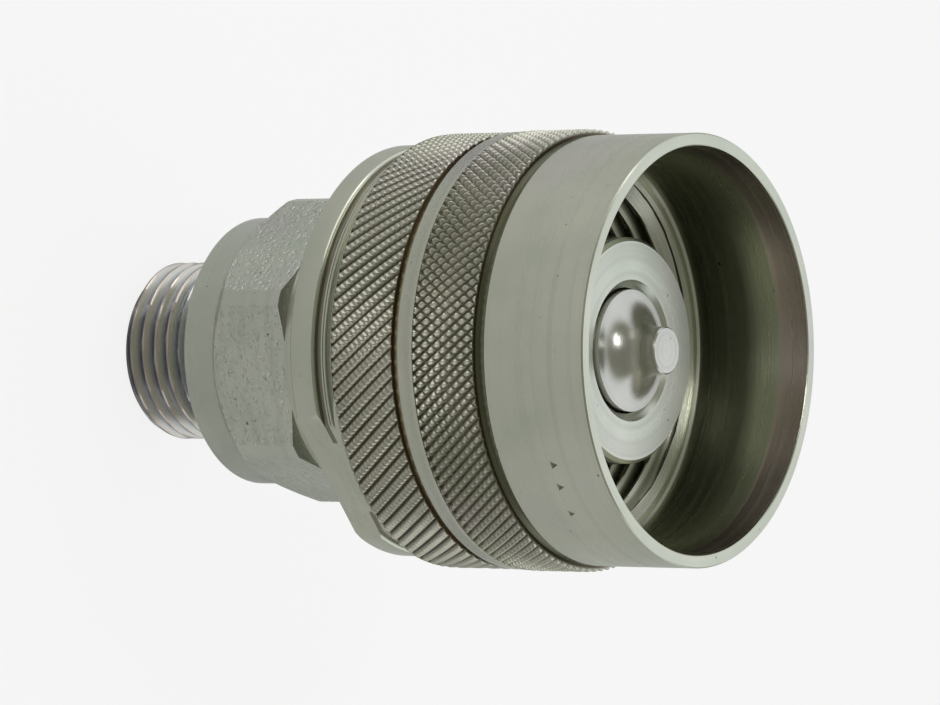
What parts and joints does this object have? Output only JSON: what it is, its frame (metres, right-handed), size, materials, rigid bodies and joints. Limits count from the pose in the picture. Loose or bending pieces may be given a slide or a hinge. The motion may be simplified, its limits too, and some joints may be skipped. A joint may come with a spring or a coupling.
{
  "type": "liquid cooling quick coupling",
  "caption": "Screw-together fluid quick coupling half: hexagon port adapter, poppet valve in a probe, and a knurled turning union sleeve with a protective skirt.",
  "frame": {"origin": "centre of the port end face, on the axis, with the part standing on that face", "axes": "+Z along the axis from the threaded port towards the open mating end; -Y square to one flat of the hexagon"},
  "size_m": [0.0426, 0.0426, 0.0628],
  "materials": {
    "plated_steel": "turned, zinc plated with a clear passivated finish",
    "turned_steel": "fine turned",
    "spring_steel": "drawn wire",
    "seal_rubber": "moulded nitrile rubber",
    "backup_plastic": "cut fluoroplastic",
    "bearing_bronze": "plain bearing bronze"
  },
  "bodies": {
    "coupling_body": {"port_adapter": "plated_steel", "valve_body": "plated_steel", "adapter_seal": "seal_rubber", "adapter_backup_ring": "backup_plastic", "valve_guide": "turned_steel", "guide_bush": "bearing_bronze", "poppet_spring": "spring_steel", "probe_seal": "seal_rubber", "probe_backup_ring": "backup_plastic", "thrust_washer": "bearing_bronze", "sleeve_retaining_ring": "spring_steel"},
    "poppet_body": {"poppet": "turned_steel", "poppet_seal": "seal_rubber"},
    "sleeve_body": {"union_sleeve": "plated_steel", "sleeve_seal": "seal_rubber"}
  },
  "joints": [
    {"name": "sleeve_spin", "type": "hinge", "parent": "coupling_body", "child": "sleeve_body", "pos_m": [0, 0, 0.033], "axis": [0, 0, 1], "continuous": true},
    {"name": "poppet_slide", "type": "slide", "parent": "coupling_body", "child": "poppet_body", "axis": [0, 0, -1], "range_m": [0, 0.004], "stiffness_N_per_m": 1500, "springref_m": -0.006, "deforming": ["poppet_spring"]}
  ]
}
